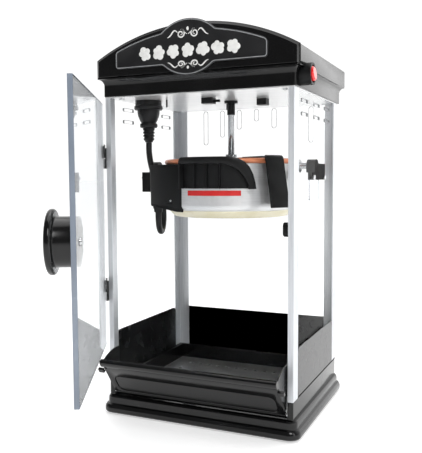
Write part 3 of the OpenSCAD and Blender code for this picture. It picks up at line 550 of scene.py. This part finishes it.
emblem = []
for i in range(-3, 4):
    cx, turn, seed = SCX + 18.4 * i, 18 + 41 * i, i * 1.3
    emblem.append(plate(kernel_outline(cx, KERNEL_Z, KERNEL, turn, seed), -106.6, FACE_Y, edge=0.3))
    for k in range(5):  # each lobe is a low puff, and one more sits over the heart
        a = math.radians(lobe_at(turn, seed, k))
        r = KERNEL * (0.47 + 0.06 * math.sin(seed * 1.7 + k * 2.9))
        d = KERNEL * (0.60 + 0.05 * math.sin(seed * 3.1 + k))
        at = (cx + d * math.cos(a), 0, KERNEL_Z + d * math.sin(a))
        emblem.append(lathe(puff(r, -106.3, 0.65), at, axis="y", seg=28))
    at = (cx + 0.5 * math.sin(seed), 0, KERNEL_Z + 0.5 * math.cos(seed))
    emblem.append(lathe(puff(3.1, -106.4, 0.6), at, axis="y", seg=28))
for sgn, zc, tall in ((1, 454.8, 1.0), (-1, 420.2, 0.8)):  # scrolls over and under the row
    for m in (-1, 1):
        curl = []
        for k in range(61):
            q = k / 60
            a = math.radians(90 + 560 * q)
            r = 5.0 * (1 - 0.78 * q)
            curl.append((SCX + m * (8.6 + r * math.cos(a)), zc + sgn * tall * (r * math.sin(a) - 0.6)))
        lead_in = [(SCX + m * (0.9 + 7.7 * q), zc + sgn * tall * (-1.2 + 5.6 * math.sin(q * 1.57) ** 1.5))
                   for q in [j / 14 for j in range(14)]]
        emblem.append(stroke(lead_in + curl, lambda q: 0.6 + 0.9 * math.sin(math.pi * min(q * 1.1, 1)),
                             FACE_Y, -106.65))
        tail = [(SCX + m * (12.8 + 12.6 * q),
                 zc + sgn * tall * (1.0 + 3.0 * math.sin(q * 5.2) * (1 - 0.4 * q) - 3.0 * q * q))
                for q in [j / 24 for j in range(25)]]
        emblem.append(stroke(tail, lambda q: 0.6 + 0.9 * math.sin(math.pi * q), FACE_Y, -106.65))
    drop = [(SCX + 1.4 * math.cos(math.radians(a)), zc + sgn * tall * 4.6 + 2.2 * tall * math.sin(math.radians(a)))
            for a in range(0, 360, 20)]
    emblem.append(plate(drop, -106.75, FACE_Y, edge=0.25))
make("sign_motif", *join(*emblem), WHITE, "cabinet", stands_for=["sign_emblem"], smooth=30)

# ---------------------------------------------------------------- plinth
def base_ring(hx, hy, z, r):
    """The base's outline at height z."""
    return [(x, y, z) for x, y in rrect(-hx, hx, -hy, hy, r, 8)]


# (half width, half depth, height, corner radius) up the moulding
tiers = [(111, 92, 3.2, 8), (118, 99, 2.6, 9), (123.8, 103.8, 2.1, 11), (125.6, 106.0, 2.7, 13),
         (126.4, 107.2, 4.2, 13.6), (126.5, 107.5, 6.2, 13.8), (126.4, 107.3, 8.6, 13.6),
         (125.7, 106.6, 11.0, 13.2), (124.4, 105.3, 12.6, 12.4), (123.1, 104.0, 13.0, 11.4),
         (122.5, 103.3, 13.4, 10.8), (122.5, 103.0, 14.2, 10.6), (122.5, 103.0, 19.2, 10.6),
         (122.1, 102.6, 21.2, 10.2), (121.0, 101.4, 22.5, 9.2), (119.4, 99.6, 23.0, 7.8)]
walls = [block((s * 115 - 3.5, -98, 22.5), (s * 115 + 3.5, 98, 43.5), 0.9, edge=0.5) for s in (-1, 1)]
walls.append(block((-113, 91, 22.5), (113, 98, 43.5), 0.6, edge=0.5))
make("plinth_moulding", *join(grid([base_ring(*tier) for tier in tiers]), *walls), BLACK, "cabinet",
     stands_for=["base_plinth"], slot="gloss_black", smooth=30)

# painted shadow lines: thin black strips where the side walls meet the base and the front posts, standing for the
# shade in those joints
for side, sgn in SIDES:
    lo, hi = sorted((sgn * (WALL_X - 0.4), sgn * (WALL_X + 0.06)))
    make("wall_painted_shadow_line_" + side, *join(block((lo, -79.6, 43.3), (hi, 98.0, 45.1), 0.1, edge=0.05),
                                    block((lo, -80.1, 43.6), (hi, -79.4, 93.0), 0.1, edge=0.05)), SHADOW, "cabinet",
         smooth=0)


# ---------------------------------------------------------------- door
DOOR_FRONT, DOOR_BACK = -104.5, -99.5  # faces of the closed door
KNOB_AT = (93, 235.5)  # x and z on the closed door

make("door_pane", *plate(rrect(-117.5, 118.2, 90.6, 380.4, 2.0), DOOR_FRONT, DOOR_BACK, edge=0.35), ACRYLIC, "door",
     place=door, stands_for=["door_panel"], slot="door_acrylic", smooth=20)
make("door_edge_strip", *join(block((118.3, -104.45, 90), (119, -99.55, 381), 0.3, edge=0.3),
                              block((-117, -104.45, 90), (118.2, -99.55, 90.5), 0.2, edge=0.15),
                              block((-117, -104.45, 380.5), (118.2, -99.55, 381), 0.2, edge=0.15)), DOOR_EDGE,
     "door", place=door, smooth=30)


def knob_lathe(profile, y0, outwards=1):
    """Turned about the knob's axis; heights are measured from y0, out of the door or into the cabinet."""
    return lathe([(r, y0 - outwards * h) for r, h in profile], (KNOB_AT[0], 0, KNOB_AT[1]), axis="y", seg=72)


knob = [(0, 0), (23.1, 0), (23.1, 15.6)]
knob += [(24.1 - math.cos(math.radians(a)), 15.6 + math.sin(math.radians(a))) for a in (30, 60, 90)]
knob += [(27.4 + 2.6 * math.cos(math.radians(a)), 19.2 + 2.6 * math.sin(math.radians(a)))
         for a in range(-90, 1, 15)]
knob += [(27.4 + 2.6 * math.cos(math.radians(a)), 20.0 + 3.0 * math.sin(math.radians(a)))
         for a in range(10, 91, 16)]
knob += [(22, 22.9), (12, 22.6), (0, 22.4)]
make("door_knob_turned", *knob_lathe(knob, DOOR_FRONT), BLACK, "door", place=door, stands_for=["door_knob"],
     slot="gloss_black", smooth=32)
screw = [(0, 2.0), (1.2, 2.05), (1.3, 1.2), (1.9, 1.2), (2.0, 2.0), (3.2, 1.8), (4.0, 0.9), (4.1, 0.0), (0, 0)]
make("knob_screw_head", *knob_lathe(screw, DOOR_BACK, -1), PLATED, "door", place=door, smooth=32)

PIN_AT = (*HINGE, 0)
for n, low in enumerate((141, 304)):
    top = low + 29
    mid = low + 12.2  # the bracket's barrel is below, the leaf's above
    make("hinge_leaf_%d" % n, *join(
        lathe([(1.7, mid + 0.3), (3.2, mid + 0.3), (3.4, mid + 0.8), (3.4, top - 0.5), (3.1, top), (1.7, top)],
              PIN_AT, seg=40),
        block((-121.4, -106.8, mid + 0.3), (-112.6, -104.6, top - 2), 0.6, edge=0.4),
        block((-121.4, -99.4, mid + 0.3), (-112.6, -98.6, top - 2), 0.35, edge=0.3),
    ), SATIN, "door", place=door)
    make("hinge_bracket_%d" % n, *join(
        lathe([(1.7, low), (3.1, low), (3.4, low + 0.5), (3.4, mid - 0.3), (3.2, mid), (1.7, mid)], PIN_AT, seg=40),
        block((-122.6, -101.6, low), (-118.6, -95, mid), 1.0, edge=0.5),
        block((-120.3, -98.2, low), (-118.55, -89.5, low + 25), 0.8, edge=0.5),
    ), SATIN, "cabinet")
    pin = [(0, low + 0.4), (1.3, low + 0.4), (1.6, low + 0.9), (1.6, top - 0.7), (1.2, top - 0.1), (0, top)]
    make("hinge_pin_%d" % n, *lathe(pin, PIN_AT, seg=32), PLATED, "cabinet")
for piece, node in (("hinge_leaf_0", "door_hinge_leaves"), ("hinge_bracket_0", "door_hinge_brackets"),
                    ("hinge_pin_0", "door_hinge_pins"), ("knob_screw_head", "knob_screw")):
    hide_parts(node)

# the catch on the right post, its block rounded at both ends
catch = [(-92.2 + 4.4 * math.cos(math.radians(a)), (238.6 if a < 180 else 231.4) + 4.4 * math.sin(math.radians(a)))
         for a in range(0, 360, 15)]
make("door_catch_block", *join(plate(catch, 105.4, 111.8, axis=0, edge=0.7),
                               block((111.4, -96.3, 228), (116.5, -94, 242), 0.8)), SATIN, "cabinet",
     stands_for=["door_catch"], smooth=35)

# ---------------------------------------------------------------- flap
FT = 88.5  # top of the shut flap
MID_Y, MID_Z = -96.5, 56  # its ends are eased towards these
prof = [(-95.0, 27.6), (-95.0, FT - 1.4), (-95.8, FT - 0.3), (-97.2, FT), (-100.2, FT - 0.1),
        (-101.5, FT - 0.8), (-102.0, FT - 2.4), (-102.0, FT - 6.6), (-101.5, FT - 8.2), (-100.2, FT - 9.0),
        (-99.0, FT - 9.6), (-98.1, FT - 10.8), (-97.0, FT - 12.2), (-97.0, 34), (-97.6, 31.6), (-98.4, 29.4),
        (-98.6, 27.4), (-97.8, 25.4), (-96.2, 24.3), (-94.4, 24.2), (-92.6, 25.2), (-91.5, 27.0), (-91.8, 28.6),
        (-93.2, 29.6)]
rings = []
for x, g in ((-110.5, 0.6), (-110.0, 0.0), (110.0, 0.0), (110.5, 0.6)):
    rings.append([(x, y + (g if y < MID_Y else -g * 0.4), z - g if z > MID_Z else z + g * 0.3) for y, z in prof])
tabs = [block((s * 113.2 - 3.8, -102, 69.5), (s * 113.2 + 3.8, -98.5, 75.5), 0.8, axis=1, edge=0.4)
        for s in (-1, 1)]
# a raised frame round the flap's front
outer = rrect(-110.3, 110.3, 31.5, FT - 10.2, 1.5, 8)
hole = rrect(-102.5, 102.5, 34.0, 60.0, 8.0, 8)
frame_rings = [[(x, y, z) for x, z in line] for y, line in (
    (-97.0, outer), (-97.9, outer), (-98.3, rrect(-109.9, 109.9, 31.9, FT - 10.6, 1.2, 8)),
    (-98.3, rrect(-103.2, 103.2, 33.3, 60.8, 8.6, 8)), (-97.9, hole),
    (-97.0, rrect(-102, 102, 34.4, 59.6, 7.6, 8)))]
make("flap_moulding", *join(grid(rings), grid(frame_rings, loop=True), *tabs), BLACK, "flap", place=flap,
     stands_for=["flap_panel"], slot="gloss_black", smooth=30)

# ---------------------------------------------------------------- kettle
LABEL_FROM, LABEL_SPAN = -17, 47  # the label's place round the kettle, in degrees
AXIS = (KX, KY, 0)


def cyl(phi, r, z):
    """A point at radius r from the kettle's axis, phi degrees round from the front."""
    a = math.radians(phi)
    return (KX + r * math.sin(a), KY - r * math.cos(a), z)


shell = [(66.6, 246.0), (68.5, 244.6), (71, 245.2), (74.3, 247.7), (77, 250.3), (79.3, 252.9), (80.9, 255.4),
         (81.5, 258), (81.5, 262), (81.5, 285), (81.5, 304), (81.0, 306.2), (80.9, 308.7), (80.2, 308.7),
         (80.2, 260), (74, 249), (67.6, 246)]
make("kettle_wall", *lathe(shell, AXIS, seg=160), KETTLE, "kettle", stands_for=["kettle_shell"],
     slot="kettle_aluminium", smooth=50)
pale = [(66.8, 244.3), (69.2, 244.25), (71.4, 244.7), (74.8, 247.2), (77.5, 249.8), (79.6, 252.2),
        (79.3, 252.95), (77.0, 250.5), (74.2, 247.9), (71.0, 245.4), (67.2, 245.2)]
make("kettle_pale_edge", *lathe(pale, AXIS, seg=160), CREAM, "kettle", smooth=60)


def label_band(section):
    """A band on the kettle's wall from its section in (radius, height)."""
    return grid([[cyl(LABEL_FROM + LABEL_SPAN * i / 60, r, z) for i in range(61)] for r, z in section],
                closed=False, loop=True)


make("kettle_red_band", *label_band([(81.62, 271.2), (81.95, 271.3), (81.95, 277.2), (81.62, 277.3)]), LABEL_RED,
     "kettle", stands_for=["kettle_label"], smooth=40)
make("kettle_pale_band", *label_band([(81.62, 259.6), (81.85, 259.7), (81.85, 271.0), (81.62, 271.1)]), LABEL_PALE,
     "kettle", smooth=40)


def blend_pts(pairs, s):
    """Where a line of (share of its length, degrees, height) is at s."""
    for (s0, a0, b0), (s1, a1, b1) in zip(pairs, pairs[1:]):
        if s <= s1:
            t = (s - s0) / (s1 - s0)
            return (a0 + (a1 - a0) * t, b0 + (b1 - b0) * t)
    return pairs[-1][1:]


# the grip's arched rail runs between these two lines, from its left foot over the top to its right foot
out_line = [(0, -22.4, 279.5), (0.02, -22.4, 284), (0.10, -22.4, 312.5), (0.12, -21.6, 315.2),
            (0.14, -20.0, 316.5), (0.30, -5, 316.6), (0.50, 15, 316.6), (0.58, 22, 316.3), (0.65, 27.5, 314.4),
            (0.72, 32, 310.8), (0.80, 36, 304.5), (0.88, 38.8, 296), (0.95, 40.4, 287), (1.0, 41.2, 279.0)]
in_line = [(0, -21.2, 279.5), (0.02, -21.2, 284), (0.10, -21.2, 306.5), (0.12, -20.6, 307.8),
           (0.14, -19.4, 308.4), (0.30, -5, 308.6), (0.50, 12, 308.6), (0.58, 18, 307.6), (0.65, 22.5, 305.0),
           (0.72, 26.5, 301.2), (0.80, 30.2, 295.8), (0.88, 33.0, 289.6), (0.95, 34.8, 284), (1.0, 35.8, 279.0)]
rings = []
for i in range(101):
    s = i / 100
    (phi_out, z_out), (phi_in, z_in) = blend_pts(out_line, s), blend_pts(in_line, s)
    section = [(0, 84.9 if z_out > 303 else 82.0), (0, 88.3), (0.05, 89.4), (0.16, 89.9), (0.5, 90.0), (0.84, 89.9),
               (0.95, 89.4), (1, 88.3), (1, 84.9 if z_in > 307.5 else 82.0)]
    rings.append([cyl(phi_out + (phi_in - phi_out) * q, r, z_out + (z_in - z_out) * q) for q, r in section])
# the recessed wall behind the rail, with its upright ribs
BACK_TOP, BACK_LOW, CORNER = 308.6, 279.6, 3.6
back = []
for phi in [-21.6 + 57.0 * i / 114 for i in range(115)]:
    near = min(abs(phi - rib_at) for rib_at in (-8.5, 2.5, 13.0))
    r = 86.4 if near < 0.5 else (84.4 if near < 0.85 else 83.3)
    top = BACK_TOP
    for (_, a0, b0), (_, a1, b1) in zip(in_line[4:], in_line[5:]):
        if a0 <= phi <= a1:
            top = min(BACK_TOP, b0 + (b1 - b0) * (phi - a0) / (a1 - a0) + 0.8)
    low = BACK_LOW + (CORNER - math.sqrt(max(0, CORNER ** 2 - max(0, -19.0 - phi) ** 2 * 1.9)))
    back.append([cyl(phi, 81.75, low), cyl(phi, r, low), cyl(phi, r, top), cyl(phi, 81.75, top)])
make("kettle_grip", *join(grid(rings), grid(back)), SATIN, "kettle", stands_for=["kettle_handle"],
     slot="satin_black", smooth=40)

# terminal box: a moulded box with a slanting underside
CORNER_RIGHT, CORNER_LEFT = (-33.0, -77.4), (-76.5, -62.0)  # ends of its front face, seen from above
plan = [(-25.0, -76.8), CORNER_RIGHT, CORNER_LEFT, (-78.6, -60.4), (-79.0, -58.0), (-79.0, -52.5), (-76.5, -50.6),
        (-58.5, -46.4)]
plan += [(KX + 81.8 * math.cos(math.radians(a)), KY + 81.8 * math.sin(math.radians(a))) for a in range(205, 247, 6)]


def box_low(x):
    """Height of the slanting underside at x."""
    return 251.0 + max(0.0, (-30 - x)) * 0.13


BOX_X, BOX_Y = -55, -62  # middle of its plan
BOX_TOP, BOX_RISE = 308.5, 57.5  # its top, and its height where its underside is lowest
rings = []
for rise, g in ((0, 1.2), (0.6, 0.3), (1.5, 0), (56.0, 0), (57.0, 0.3), (BOX_RISE, 1.2)):
    ring = []
    for x, y in plan:
        q = 1 - g / math.hypot(x - BOX_X, y - BOX_Y)
        z = box_low(x) + rise if rise < 10 else BOX_TOP - (BOX_RISE - rise)
        ring.append((BOX_X + (x - BOX_X) * q, BOX_Y + (y - BOX_Y) * q, z))
    rings.append(ring)
face_dir = Vector((CORNER_LEFT[0] - CORNER_RIGHT[0], CORNER_LEFT[1] - CORNER_RIGHT[1], 0)).normalized()
face_out = Vector((face_dir.y, -face_dir.x, 0))
if face_out.y > 0:
    face_out = -face_out


def on_face(u, out, z):
    """A point on the box's front face, u from its right corner and out from it."""
    p = Vector((*CORNER_RIGHT, 0)) + face_dir * u + face_out * out
    return (p.x, p.y, z)


# a low ridge across the front
ridge = [[on_face(u, -0.4, z0), on_face(u, 0.55, z0), on_face(u, 0.55, z1), on_face(u, -0.4, z1)]
         for u, z0, z1 in ((9, 262.0, 264.2), (24, 260.6, 262.8))]
make("terminal_housing", *join(grid(rings), grid(ridge)), SATIN, "kettle", stands_for=["terminal_box"],
     slot="satin_black")
# a lip along the housing's lower edge, and the slot and the screw on its front; the slot is a raised black strip of
# painted shade
lip = []
for u in (-0.5, 8, 20, 32, 44):
    low = box_low(on_face(u, 0, 0)[0])
    lip.append([on_face(u, -0.5, low + 0.2), on_face(u, 0.9, low + 0.4), on_face(u, 0.9, low + 2.6),
                on_face(u, -0.5, low + 3.4)])
make("housing_lip", *grid(lip), SATIN, "kettle", smooth=30)
slot_rings = [[on_face(8.6 + 12.4 * (0.5 + 0.5 * x), out, 262.2 + 1.5 * z) for x, z in rrect(-1, 1, -1, 1, 0.5, 4)]
              for out in (-0.3, 0.35)]
make("housing_slot_painted_shade", *grid(slot_rings), SHADOW, "kettle", smooth=0)
centre = Vector(on_face(11.5, 0, 264.6))
head = []
for r, out in ((0.01, 0.95), (0.9, 0.95), (1.3, 0.6), (1.3, -0.2)):
    head.append([tuple(centre + face_out * out + face_dir * (r * math.cos(k * math.pi / 8))
                       + Vector((0, 0, r * math.sin(k * math.pi / 8)))) for k in range(16)])
make("housing_screw_head", *grid(head), PLATED, "kettle", smooth=40)

boot = [(3.9, 249.8), (4.9, 249.8), (5.2, 250.4), (5.6, 253.5), (6.4, 255), (6.6, 258.5), (0, 258.5)]
make("lead_boot", *lathe(boot, (-68, -60.5, 0), seg=40), SATIN, "kettle")

# the bar across the rim and its two legs
BAR_TURN = math.radians(-33)
bar_dir = Vector((math.cos(BAR_TURN), math.sin(BAR_TURN), 0))
bar_side = Vector((-math.sin(BAR_TURN), math.cos(BAR_TURN), 0))


def bar_pt(along, side, z):
    """A point of the bar, along it from the kettle's axis and to its side."""
    p = Vector(AXIS) + bar_dir * along + bar_side * side
    return (p.x, p.y, z)


def leg(sgn):
    """A leg over the rim and down the wall, from (distance, height, half width, shift sideways)."""
    path = [(82.5, 316.9, 5.6, 0), (83.8, 317.3, 6.0, 0), (85.4, 317.6, 11.4, -1), (88.0, 317.2, 12.6, -1.6),
            (90.2, 315.8, 13.0, -2), (91.3, 313.0, 13.2, -2), (91.8, 309.0, 13.2, -1.8),
            (92.6, 300, 13.2, -1.0), (93.8, 285, 13.4, 0.4), (95.0, 270, 13.6, 1.8), (96.0, 258.4, 13.8, 2.8),
            (96.1, 257.0, 13.4, 2.9)]
    rings = []
    for i, (r, z, w, shift) in enumerate(path):
        a, b = path[max(i - 1, 0)], path[min(i + 1, len(path) - 1)]
        t = Vector((b[0] - a[0], b[1] - a[1])).normalized()
        nrm = Vector((-t.y, t.x))  # towards the outside
        if nrm.x + nrm.y * 0.5 < 0:
            nrm = -nrm
        rings.append([bar_pt(sgn * (r + nrm.x * v), u + shift, z + nrm.y * v)
                      for u, v in rrect(-w, w, -2.0, 0.7, 0.9, 4)])
    return grid(rings)


bar = []
for x in range(-74, 75):
    ribbed = 30 < abs(x) < 70 and abs(x) % 4 < 2
    top = 317.7 if ribbed else 317.1
    section = [(-5.8, 315.3), (5.8, 315.3), (5.8, top - 0.5), (5.2, top), (-5.2, top), (-5.8, top - 0.5)]
    bar.append([bar_pt(x, side, z) for side, z in section])
shaft_ring = [(5.1, 315.3), (5.7, 315.3), (5.9, 315.8), (5.9, 317.3), (5.5, 317.6), (5.1, 317.6)]
make("lid_bridge_bar", *join(grid(bar), leg(1), leg(-1), lathe(shaft_ring, AXIS, seg=48)), SATIN, "kettle",
     stands_for=["lid_bridge"], slot="satin_black", smooth=38)
# the copper bowl: its rolled rim, then down the inside and up under it
bowl = [(78.2, 311.2)]
bowl += [(81.5 + 3.0 * math.cos(math.radians(a)), 312 + 3.0 * math.sin(math.radians(a)))
         for a in range(-120, 151, 15)]
bowl += [(76.0, 313.0), (75.0, 312), (75.0, 273), (68, 265.6), (0, 265.5), (0, 264), (68.6, 264), (76.4, 272),
         (76.4, 310)]
make("kettle_rim", *lathe(bowl, AXIS, seg=160), COPPER, "kettle", stands_for=["kettle_pot"], slot="copper",
     smooth=50)

# the shaft and its dark sleeve
make("shaft_turned", *lathe([(0, 318.2), (3.4, 318.2), (4.0, 319), (4.0, 396), (0, 396)], AXIS, seg=48), CHROME,
     "shaft", stands_for=["drive_shaft"], smooth=40)
sleeve = [(4.05, 371.6), (4.5, 371.2), (4.9, 371.6), (5.0, 372.4), (5.0, 386.4), (4.7, 387), (4.05, 387)]
make("shaft_sleeve", *lathe(sleeve, AXIS, seg=48), SATIN, "shaft", stands_for=["shaft_collar"], smooth=40)


# ---------------------------------------------------------------- rims of the cut-outs in the glazing
def rim(outline, at_depth, axis, wide=0.45):
    """A fine grey line just inside a cut-out's outline, through the pane; it stands for the cut edge."""
    n = len(outline)
    cx, cy = sum(q[0] for q in outline) / n, sum(q[1] for q in outline) / n

    def put(g, depth):
        ring = []
        for u, v in outline:
            c = [u - math.copysign(g, u - cx) * (abs(u - cx) > 0.6),
                 v - math.copysign(g, v - cy) * (abs(v - cy) > 0.6)]
            c.insert(axis, depth)
            ring.append(tuple(c))
        return ring

    lo, hi = at_depth
    return grid([put(0.02, lo), put(wide, lo), put(wide, hi), put(0.02, hi)], loop=True)


rims = [rim(rrect(1.5 + 26 * i, 8.5 + 26 * i, 371 - 10.5 * abs(i), 388, 3.4), (95.9, 96.9), 1)
        for i in range(-3, 4)]
make("rear_slot_rims", *join(*rims), SLOT_EDGE, "cabinet", smooth=35)
for side, sgn in SIDES:
    lo, hi = sorted((sgn * 114.5, sgn * 116.8))
    rims = [rim(rrect(y - 12, y + 12, z - 2.25, z + 2.25, 1.5), (lo, hi), 0, 0.35)
            for y in (-50, 2.5, 52.5) for z in (363.5, 378.5)]
    make("side_slot_rims_" + side, *join(*rims), SLOT_EDGE, "cabinet", smooth=35)

# small eases in mm on the carried-over plates and blocks
EASES = {
    "post_front_left": 0.25, "post_front_right": 0.25, "post_rear_left": 0.25, "post_rear_right": 0.25,
    "hanger_left": 0.8, "hanger_right": 1.2, "ceiling_clips": 0.4, "rear_wall": 0.2, "side_wall_left": 0.2,
    "side_wall_right": 0.2, "switch_bezel": 0.5, "power_socket": 0.5, "gear_motor": 0.6,
}
for name, width in EASES.items():
    m = NODES[name].modifiers.new("edge", "BEVEL")
    m.width = width * MM
    m.segments = 2
    m.limit_method = "ANGLE"
    m.angle_limit = math.radians(50)
for ob in NODES.values():
    ob.data.shade_smooth()
    ob.data.set_sharp_from_angle(angle=math.radians(32))


# ---------------------------------------------------------------- floor and light
def panel_light(name, at, aim, size, power, size_y=None):
    """An area light at one point, facing another; the camera does not see it."""
    li = bpy.data.lights.new(name, "AREA")
    li.shape = "RECTANGLE"
    li.size = size
    li.size_y = size_y or size
    li.energy = power
    ob = bpy.data.objects.new(name, li)
    bpy.context.collection.objects.link(ob)
    ob.location = at
    ob.rotation_euler = (Vector(aim) - Vector(at)).to_track_quat("-Z", "Y").to_euler()
    ob.visible_camera = False


panel_light("overhead", (0.0, 0.1, 1.8), (0, 0, 0.2), 1.5, 12)
panel_light("right_strip", (1.5, -0.75, 0.7), (0, 0, 0.25), 0.35, 4.5, size_y=1.4)
panel_light("front_high", (1.0, -1.35, 1.45), (0, 0, 0.3), 0.7, 13)
panel_light("right_back", (1.05, 1.75, 0.55), (0, 0, 0.3), 1.5, 4, size_y=1.3)

# a white studio, bright behind the machine and dim in front of it
world = bpy.data.worlds.new("studio")
bpy.context.scene.world = world
world.use_nodes = True
wn = world.node_tree
bg = wn.nodes["Background"]
tc = wn.nodes.new("ShaderNodeTexCoord")
sep = wn.nodes.new("ShaderNodeSeparateXYZ")
wn.links.new(tc.outputs["Generated"], sep.inputs[0])
wr = wn.nodes.new("ShaderNodeMapRange")
wr.inputs["From Min"].default_value = -0.15
wr.inputs["From Max"].default_value = 0.45
wr.inputs["To Min"].default_value = 0.17
wr.inputs["To Max"].default_value = 1.08
wn.links.new(sep.outputs["Y"], wr.inputs["Value"])
bg.inputs["Color"].default_value = (1, 1, 1, 1)
wn.links.new(wr.outputs[0], bg.inputs["Strength"])

fm, fnt, fb = nodes_of("floor_white")
fnt.links.new(ramp(fnt, noise(fnt, 2.0), (0.90, 0.90, 0.90), (0.93, 0.93, 0.93)), fb.inputs["Base Color"])
fb.inputs["Roughness"].default_value = 0.6
fb.inputs["Specular IOR Level"].default_value = 0.2
fb.inputs["Emission Color"].default_value = (1, 1, 1, 1)
fb.inputs["Emission Strength"].default_value = 0.5
fme = bpy.data.meshes.new("floor")
FAR = 60  # half the floor's side in m, past anything in view
fme.from_pydata([(-FAR, -FAR, 0), (FAR, -FAR, 0), (FAR, FAR, 0), (-FAR, FAR, 0)], [], [(0, 1, 2, 3)])
floor = bpy.data.objects.new("floor", fme)
fme.materials.append(fm)
bpy.context.collection.objects.link(floor)
bpy.context.scene.view_settings.view_transform = "Standard"
